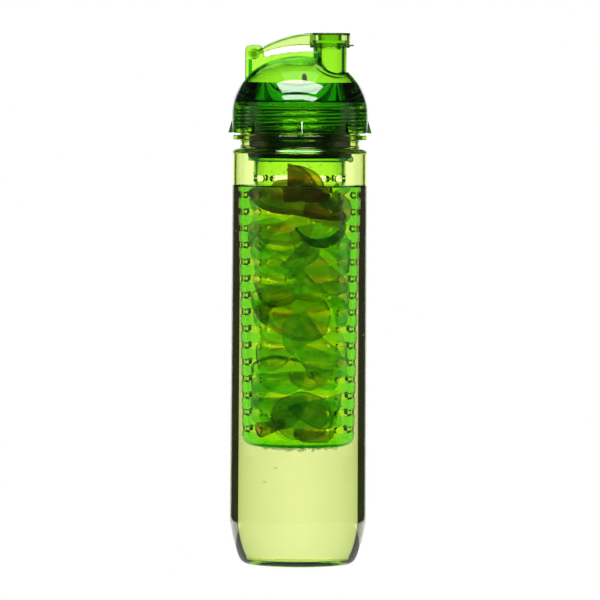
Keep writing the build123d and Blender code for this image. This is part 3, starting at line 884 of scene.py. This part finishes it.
def cellRings():
    # the slot's outline and the cell's border, point for point, in (share of column, height)
    k = SimpleNamespace(**basket)
    columnWidth = 2 * math.pi * ((k.topRadius + k.footRadius) / 2) / k.columns
    halfSlot, halfPitch = k.slotWidth / 2 / columnWidth, k.pitch / 2
    roundHeight = k.slotHeight / 2
    roundShare = roundHeight / columnWidth
    flat, bend, side = k.flatSteps, k.cornerSteps, k.sideSteps
    across = flat + 2 * bend
    slot, border = [], []
    for edge in (1, -1):
        border += [(edge * (0.5 - step / across), edge * halfPitch) for step in range(across)]
        border += [(-edge * 0.5, edge * halfPitch * (1 - 2 * step / side)) for step in range(side)]
        for place in range(across + side):
            along, angle = 1.0, 90.0
            if place < bend:
                along, angle = -1.0, 45 * (1 + place / bend)
            elif place <= bend + flat:
                along = 2 * (place - bend) / flat - 1
            elif place <= across:
                angle = 90 + 45 * (place - bend - flat) / bend
            else:
                angle = 135 + 90 * (place - across) / side
            turn = math.radians(angle)
            share = (halfSlot - roundShare) * -along + roundShare * math.cos(turn)
            slot.append((edge * share, edge * roundHeight * math.sin(turn)))
    return slot, border


def cellMesh():
    slot, border = cellRings()
    count = len(slot)
    vertices, faces = [], []
    for depth in (0.0, -1.0):
        for blend in (0.0, basket["slotRim"], 1.0):
            for (x0, y0), (x1, y1) in zip(slot, border):
                vertices.append((x0 + (x1 - x0) * blend, y0 + (y1 - y0) * blend, depth))
    for start in (0, count, 3 * count, 4 * count):
        for index in range(count):
            after = (index + 1) % count
            quad = [start + index, start + after, start + count + after, start + count + index]
            faces.append(quad if start > count else quad[::-1])
    for index in range(count):
        after = (index + 1) % count
        faces.append([index, after, 3 * count + after, 3 * count + index])
    return newMesh("slottedWall", vertices, faces)


def basketTree():
    names = ("Pitch", "Top Row", "Top Radius", "Foot Radius", "Top Height", "Foot Height", "Wall")
    tree, graph, given = groupGraph("slottedWall", names, ("Columns", "Rows"))
    calc = graph.calc
    columns = given["Columns"]
    index = graph.add("GeometryNodeInputIndex").outputs[0]
    row = calc("FLOOR", calc("DIVIDE", calc("ADD", index, 0.01), columns))
    height = calc("SUBTRACT", given["Top Row"], calc("MULTIPLY", row, given["Pitch"]))
    points = graph.add("GeometryNodePoints", {
        "Count": calc("MULTIPLY", columns, given["Rows"]),
        "Position": graph.join(calc("ADD", calc("MODULO", index, columns), 0.5), height),
    })
    values = {"Points": points.outputs[0], "Instance": given["Geometry"]}
    repeat = graph.add("GeometryNodeInstanceOnPoints", values)
    realize = graph.add("GeometryNodeRealizeInstances", {0: repeat.outputs[0]})
    x, y, z = graph.split(graph.add("GeometryNodeInputPosition").outputs[0])
    angle = calc("MULTIPLY", calc("DIVIDE", x, columns), 2 * math.pi)
    rise = calc("DIVIDE", calc("SUBTRACT", y, given["Foot Height"]),
                calc("SUBTRACT", given["Top Height"], given["Foot Height"]))
    spread = calc("MULTIPLY", rise, calc("SUBTRACT", given["Top Radius"], given["Foot Radius"]))
    radius = calc("ADD", calc("ADD", given["Foot Radius"], spread), calc("MULTIPLY", z, given["Wall"]))
    wrapped = graph.join(*[calc("MULTIPLY", radius, calc(wave, angle)) for wave in ("COSINE", "SINE")], y)
    moved = graph.add("GeometryNodeSetPosition", {"Geometry": realize.outputs[0], "Position": wrapped})
    endGroup(graph, moved.outputs[0], given["Material"])
    return tree


def joinMeshes(name, parts, nearest=None):
    work = bmesh.new()
    for part in parts:
        work.from_mesh(part)
    if nearest:
        bmesh.ops.remove_doubles(work, verts=work.verts, dist=nearest)
    bmesh.ops.recalc_face_normals(work, faces=work.faces)
    mesh = bpy.data.meshes.new(name)
    work.to_mesh(mesh)
    work.free()
    return mesh


def wallRadius(height, inset=0.0):
    k = SimpleNamespace(**basket)
    share = (height - k.foot) / (k.flangeLow - k.foot)
    return k.footRadius + (k.topRadius - k.footRadius) * share - inset


def basketTop(k, slotTop):
    e, bore = k.edge, k.neckRadius - k.wall
    line = rowPoints((wallRadius(slotTop), slotTop), (wallRadius(k.flangeLow - e), k.flangeLow - e), 4)
    line += corner((k.topRadius, k.flangeLow), e, 2, 3, hollow=True)
    line += corner((k.flangeRadius, k.flangeLow), e, 0) + corner((k.flangeRadius, k.flangeHigh), e, 1)
    line += corner((k.neckRadius, k.flangeHigh), e, 3, 3, hollow=True)
    line += rowPoints((k.neckRadius, k.flangeHigh + 2 * e), (k.neckRadius, k.neckTop - e), k.neckSteps)
    line += corner((k.neckRadius, k.neckTop), e, 1, 3) + corner((bore, k.neckTop), e, 2, 3)
    line += rowPoints((bore, k.neckTop - 2 * e), (bore, k.flangeLow), 4)
    return line + rowPoints((bore, k.flangeLow), (wallRadius(slotTop, k.wall), slotTop), 3)


def basketFoot(k, slotLow, inset, steps):
    # the cup's rounded foot, its outside or, moved in by the wall, its inside
    line = [(0.0, k.foot + inset)]
    line += arcPoints((k.footRadius - k.corner, k.foot + k.corner), k.corner - inset, -90, 0, steps)
    start = (k.footRadius - inset, k.foot + k.corner)
    return line + rowPoints(start, (wallRadius(slotLow, inset), slotLow), 3)


def makeBasket():
    k = SimpleNamespace(**basket)
    topRow = k.flangeLow - k.topMargin
    slotTop = topRow + k.pitch / 2
    slotLow = slotTop - k.rows * k.pitch
    wall = runTree(basketTree(), cellMesh(), {
        "Columns": k.columns, "Rows": k.rows, "Pitch": k.pitch, "Top Row": topRow, "Top Radius": k.topRadius,
        "Foot Radius": k.footRadius, "Top Height": k.flangeLow, "Foot Height": k.foot, "Wall": k.wall,
        "Material": materials["wetBasket"],
    })
    sides = (k.flatSteps + 2 * k.cornerSteps) * k.columns
    lines = [basketFoot(k, slotLow, k.wall, 8), basketFoot(k, slotLow, 0.0, 10), basketTop(k, slotTop)]
    parts = [wall] + [latheMesh("basketRing", line, sides, closed=False) for line in lines]
    mesh = cutThread(joinMeshes("basketShell", parts, k.nearest), "basketNeck", k.neckRadius, "wetBasket")
    smoothMesh(mesh, 35)
    addPiece("basketShell", mesh, "basket", ["wetBasket", "dryBasket"], "basket")
    for face in mesh.polygons:
        face.material_index = 1 if face.center.z > water["level"] else 0
    edges = bmesh.new()
    edges.from_mesh(mesh)
    print("basket open edges", sum(1 for edge in edges.edges if not edge.is_manifold))
    edges.free()


makeBasket()
print("basket made")


# Fruit: slices of lime and darker fruit, pressed against the basket's wall
fruit = {
    "wallTop": 0.0205, "wallTaper": 0.0021, "wallHeight": 0.1425, "wallGap": 0.0006, "floor": 0.0615,
    "rings": 9, "rimSteps": 6, "stepDegrees": 6, "leastSteps": 10,
    # shares of a slice's radius or thickness
    "rim": 0.97, "taper": 0.06, "swell": 0.09, "ripple": 0.04, "pithEdges": (0.84, 0.88),
    "rindEdges": (0.93, 0.965),
    # waves round the slice, and how far it warps
    "swells": 3, "ripples": 7, "warps": 2.2, "warp": 0.002,
    # spokes is half their number, because each wave draws two
    "spokes": 4.5, "spokeEdges": (0.02, 0.16), "spokePith": 0.7,
    "fleshShade": 0.72, "grain": 260.0, "detail": 4.0, "clear": 0.95, "rough": 0.3, "ior": 1.05,
}
# kind, centre (x, y, z), radius, thickness, sweep, tilt, lean, spin
slices = [
    ("dark", (-0.0060, -0.002, 0.1810), 0.0195, 0.0080, 90, 88, 0, 45),
    ("dark", (-0.0062, 0.006, 0.1815), 0.0185, 0.0070, 88, 86, 0, 46),
    ("dark", (-0.0010, 0.002, 0.1812), 0.0190, 0.0036, 360, 20, 19, 0),
    ("dark", (0.0110, 0.000, 0.1775), 0.0092, 0.0030, 360, 60, 20, 0),
    ("leaf", (-0.0130, -0.004, 0.1790), 0.0100, 0.0040, 220, 58, 30, 120),
    ("leaf", (0.0140, -0.006, 0.1850), 0.0080, 0.0040, 200, 50, -20, -60),
    ("wedge", (0.0108, -0.0078, 0.1692), 0.0128, 0.0068, 180, 44, -8, -90),
    ("pale", (0.0008, -0.012, 0.1630), 0.0052, 0.0035, 230, 60, 30, -100),
    ("amber", (-0.0060, -0.002, 0.1700), 0.0115, 0.0055, 210, 60, -14, -80),
    ("leaf", (-0.0105, 0.004, 0.1640), 0.0095, 0.0030, 200, 60, 14, 160),
    ("pale", (-0.0020, 0.010, 0.1680), 0.0160, 0.0050, 360, 60, -10, 0),
    ("leaf", (-0.0090, -0.004, 0.1540), 0.0130, 0.0040, 190, 62, 16, -130),
    ("lime", (-0.0010, -0.007, 0.1560), 0.0090, 0.0040, 190, 60, -20, -60),
    ("amber", (0.0115, -0.002, 0.1500), 0.0150, 0.0045, 180, 76, 48, -90),
    ("lime", (0.0030, 0.006, 0.1540), 0.0165, 0.0045, 360, 55, 14, 0),
    ("leaf", (0.0130, 0.002, 0.1540), 0.0110, 0.0035, 200, 74, -20, 20),
    ("amber", (-0.0100, -0.008, 0.1390), 0.0110, 0.0035, 200, 62, 12, -80),
    ("lime", (0.0050, -0.008, 0.1420), 0.0110, 0.0040, 190, 60, 24, -120),
    ("pale", (0.0020, 0.009, 0.1420), 0.0170, 0.0045, 360, 68, 8, 0),
    ("leaf", (-0.0105, -0.005, 0.1300), 0.0100, 0.0035, 210, 60, 0, 150),
    ("dark", (-0.0120, -0.007, 0.1255), 0.0065, 0.0025, 200, 66, 10, 170),
    ("amber", (0.0005, -0.004, 0.1235), 0.0125, 0.0055, 360, 60, 10, 0),
    ("leaf", (0.0130, -0.003, 0.1290), 0.0120, 0.0035, 200, 64, 20, 40),
    ("lime", (0.0000, 0.010, 0.1250), 0.0165, 0.0045, 360, 66, -14, 0),
    ("leaf", (-0.0120, -0.009, 0.1075), 0.0105, 0.0042, 200, 66, -8, -100),
    ("wedge", (-0.0066, 0.001, 0.0940), 0.0118, 0.0042, 180, 58, 6, 90),
    ("lime", (0.0090, -0.005, 0.1130), 0.0160, 0.0045, 200, 60, 35, -110),
    ("leaf", (0.0120, -0.002, 0.1050), 0.0130, 0.0035, 190, 60, 40, -70),
    ("pale", (0.0020, 0.009, 0.1080), 0.0165, 0.0045, 360, 64, 12, 0),
    ("lime", (-0.0070, -0.006, 0.0945), 0.0095, 0.0045, 190, 60, 0, -90),
    ("amber", (0.0045, -0.006, 0.0960), 0.0090, 0.0038, 190, 56, 10, -70),
    ("lime", (0.0120, -0.007, 0.0970), 0.0090, 0.0040, 200, 64, 0, -100),
    ("leaf", (0.0090, -0.009, 0.0830), 0.0140, 0.0036, 180, 80, 16, -60),
    ("amber", (0.0015, -0.007, 0.0745), 0.0122, 0.0065, 360, 86, 76, 0),
    ("leaf", (-0.0070, -0.006, 0.0830), 0.0105, 0.0040, 190, 66, -14, -100),
    ("leaf", (-0.0070, -0.003, 0.0760), 0.0085, 0.0032, 200, 60, -14, -80),
    ("leaf", (-0.0120, -0.003, 0.0860), 0.0095, 0.0035, 200, 70, 0, 140),
    ("dark", (-0.0130, -0.007, 0.0705), 0.0075, 0.0032, 200, 40, -14, -90),
    ("lime", (-0.0020, 0.009, 0.0800), 0.0165, 0.0045, 360, 62, 8, 0),
    ("lime", (0.0020, 0.006, 0.0730), 0.0130, 0.0030, 360, 60, 0, 0),
    ("dark", (0.0060, -0.006, 0.0655), 0.0080, 0.0034, 200, 30, 6, -90),
]
fruitKinds = {
    "lime": {"rind": (0.52, 0.80, 0.05), "pith": (0.78, 0.98, 0.20), "flesh": (0.72, 0.95, 0.07),
             "loss": (26.0, 6.0, 300.0)},
    "leaf": {"rind": (0.42, 0.66, 0.04), "pith": (0.72, 0.92, 0.10), "flesh": (0.65, 0.88, 0.06),
             "loss": (36.0, 14.0, 300.0)},
    "wedge": {"rind": (0.02, 0.08, 0.01), "pith": (0.92, 1.0, 0.45), "flesh": (0.80, 0.99, 0.14),
              "loss": (14.0, 2.0, 160.0)},
    "pale": {"rind": (0.75, 0.74, 0.05), "pith": (0.95, 0.98, 0.25), "flesh": (0.90, 0.95, 0.08),
             "loss": (8.0, 6.0, 300.0)},
    "amber": {"rind": (0.56, 0.46, 0.03), "pith": (0.90, 0.88, 0.14), "flesh": (0.86, 0.80, 0.06),
              "loss": (11.0, 17.0, 300.0)},
    "dark": {"rind": (0.36, 0.28, 0.03), "pith": (0.66, 0.56, 0.08), "flesh": (0.56, 0.46, 0.05),
             "loss": (32.0, 36.0, 300.0)},
}


def sliceProfile(f):
    shares = [step / f.rings for step in range(f.rings + 1)]
    top = [(share * f.rim, 0.5 - f.taper * share) for share in shares]
    turns = [math.radians(90 - 180 * step / f.rimSteps) for step in range(1, f.rimSteps)]
    rim = [(f.rim + (1 - f.rim) * math.cos(turn), (0.5 - f.taper) * math.sin(turn)) for turn in turns]
    return top + rim + [(share, -height) for share, height in reversed(top)]


def sliceMesh(f, radius, thickness, sweep, seed):
    # a part of a round slice with a bulging rind; the map holds its own round coordinates
    rng = random.Random(seed)
    wave = [rng.uniform(-1, 1) for item in range(6)]
    around = max(f.leastSteps, int(sweep / f.stepDegrees))
    profile = sliceProfile(f)
    count = len(profile)
    vertices, faces, places = [], [], []
    for step in range(around + 1):
        angle = math.radians(-sweep / 2 + sweep * step / around)
        across, along = math.cos(angle), math.sin(angle)
        swell = 1 + f.swell * wave[0] * math.sin(f.swells * angle + f.swells * wave[1])
        swell += f.ripple * wave[2] * math.sin(f.ripples * angle)
        warp = f.warp * wave[3] * math.sin(f.warps * angle + wave[4])
        for share, height in profile:
            reach = radius * share * swell
            vertices.append((reach * across, reach * along, height * thickness + warp * share))
            places.append((0.5 + 0.5 * share * across, 0.5 + 0.5 * share * along))
    for step in range(around):
        for index in range(count - 1):
            start = step * count + index
            faces.append([start + count, start + count + 1, start + 1, start])
    faces.append(list(range(count)))
    faces.append(list(range(around * count, (around + 1) * count))[::-1])
    mesh = newMesh("slice", vertices, faces)
    layer = mesh.uv_layers.new(name="slice")
    for loop in mesh.loops:
        layer.data[loop.index].uv = places[loop.vertex_index]
    return mesh


def pressSlice(mesh, f):
    for vertex in mesh.vertices:
        drop = (basket["flangeLow"] - vertex.co.z) / f.wallHeight
        room = f.wallTop - f.wallTaper * drop - f.wallGap
        reach = math.hypot(vertex.co.x, vertex.co.y)
        if reach > room:
            vertex.co.x *= room / reach
            vertex.co.y *= room / reach
        vertex.co.z = max(vertex.co.z, f.floor)


def fruitMaterial(name, kind, f):
    material, graph = newMaterial(name)
    calc, ramp = graph.calc, graph.ramp
    place = graph.add("ShaderNodeUVMap", uv_map="slice").outputs[0]
    values = {0: place, 1: (2, 2, 0), 2: (-1, -1, 0)}
    centred = graph.add("ShaderNodeVectorMath", values, operation="MULTIPLY_ADD").outputs[0]
    radius = graph.size(centred)
    x, y, z = graph.split(centred)
    spoke = calc("ABSOLUTE", calc("SINE", calc("MULTIPLY", calc("ARCTAN2", y, x), f.spokes)))
    spoke = calc("SUBTRACT", 1.0, ramp(spoke, *f.spokeEdges))
    pith = calc("MAXIMUM", calc("MULTIPLY", spoke, f.spokePith), ramp(radius, *f.pithEdges))
    shaded = tuple(f.fleshShade * value for value in kind["flesh"])
    colour = graph.mix(ramp(graph.noise(f.grain, f.detail), *cloud["edges"]), shaded, kind["flesh"])
    colour = graph.mix(pith, colour, kind["pith"])
    colour = graph.mix(ramp(radius, *f.rindEdges), colour, kind["rind"])
    graph.surface({"Base Color": colour, "Transmission Weight": f.clear, "Roughness": f.rough, "IOR": f.ior})
    graph.absorb(kind["loss"])
    return material


def makeFruit():
    f = SimpleNamespace(**fruit)
    for kind, look in fruitKinds.items():
        materials[kind + "Fruit"] = fruitMaterial(kind + "Fruit", look, f)
        parts = []
        for seed, (sliceKind, centre, radius, thickness, sweep, *turns) in enumerate(slices):
            if sliceKind != kind:
                continue
            mesh = sliceMesh(f, radius, thickness, sweep, seed)
            tilt, lean, spin = [math.radians(turn) for turn in turns]
            mesh.transform(Matrix.Translation(centre) @ Matrix.Rotation(lean, 4, "Y")
                           @ Matrix.Rotation(tilt, 4, "X") @ Matrix.Rotation(spin, 4, "Z"))
            pressSlice(mesh, f)
            parts.append(mesh)
        mesh = joinMeshes(kind + "Slices", parts)
        smoothMesh(mesh, 50)
        addPiece(kind + "Slices", mesh, "basket", [kind + "Fruit"])


makeFruit()
print("fruit made")


# Bubbles and drops, scattered on small carrier faces
beads = {
    # a disc has a radius and a height, a strip a radius, a low and a high end and how far it leans
    "footBubbles": {"disc": (0.0155, 0.0583), "body": "basket", "slot": "clear_basket", "paint": "airBubble",
                    "Density": 120000.0, "Spacing": 0.0013, "Least": 0.0003, "Most": 0.0009, "Seed": 4},
    "lowBubbles": {"disc": (0.0085, 0.0571), "body": "basket", "slot": "clear_basket", "paint": "airBubble",
                   "Density": 60000.0, "Spacing": 0.0016, "Least": 0.0004, "Most": 0.0010, "Seed": 9},
    "neckDrops": {"strip": (0.0231, 0.1915, 0.2010, 0.0), "body": "basket", "slot": "clear_basket",
                  "paint": "stillWater", "Density": 26000.0, "Spacing": 0.0016, "Least": 0.0002,
                  "Most": 0.0006, "Seed": 7},
    "skirtDrops": {"strip": (0.0256, 0.2022, 0.2032, 0.0), "body": "basket_gasket", "slot": "soft_seal",
                   "paint": "stillWater", "Density": 30000.0, "Spacing": 0.0035, "Least": 0.0008,
                   "Most": 0.0018, "Seed": 11},
    "wallBubbles": {"strip": (0.0321, 0.0260, 0.1850, -0.0004), "body": "bottle", "slot": "clear_bottle",
                    "paint": "airBubble", "Density": 2500.0, "Spacing": 0.004, "Least": 0.00015,
                    "Most": 0.00035, "Seed": 5},
}


def beadTree():
    tree, graph, given = groupGraph("scatteredBeads", ("Density", "Spacing", "Least", "Most"), ("Seed",))
    scatter = graph.add("GeometryNodeDistributePointsOnFaces", {
        "Mesh": given["Geometry"], "Distance Min": given["Spacing"], "Density Max": given["Density"],
        "Seed": given["Seed"],
    }, distribute_method="POISSON")
    bead = graph.add("GeometryNodeMeshIcoSphere", {"Radius": 1.0, "Subdivisions": 4})
    values = {"Min": given["Least"], "Max": given["Most"], "Seed": given["Seed"]}
    size = graph.add("FunctionNodeRandomValue", values, data_type="FLOAT")
    repeat = graph.add("GeometryNodeInstanceOnPoints", {
        "Points": scatter.outputs["Points"], "Instance": bead.outputs["Mesh"], "Scale": size.outputs["Value"],
    })
    endGroup(graph, repeat.outputs[0], given["Material"])
    return tree


def stripMesh(name, radius, low, high, lean, steps=48):
    vertices = []
    for step in range(steps + 1):
        angle = math.radians(360 * step / steps)
        for height, reach in ((low, radius), (high, radius + lean)):
            vertices.append((reach * math.cos(angle), reach * math.sin(angle), height))
    faces = [[2 * step, 2 * step + 2, 2 * step + 3, 2 * step + 1] for step in range(steps)]
    return newMesh(name, vertices, faces)


def discMesh(name, radius, height, steps=48):
    circle = arcPoints((0.0, 0.0), radius, 0, 360, steps)[:-1]
    return newMesh(name, [(x, y, height) for x, y in circle], [list(range(steps))])


def makeBeads():
    tree = beadTree()
    for name, bead in beads.items():
        carrier = discMesh(name, *bead["disc"]) if "disc" in bead else stripMesh(name, *bead["strip"])
        mesh = runTree(tree, carrier, {**bead, "Material": materials[bead["paint"]]})
        smoothMesh(mesh, 60)
        addPiece(name, mesh, bead["body"], [bead["paint"]])


makeBeads()
print("bubbles made")
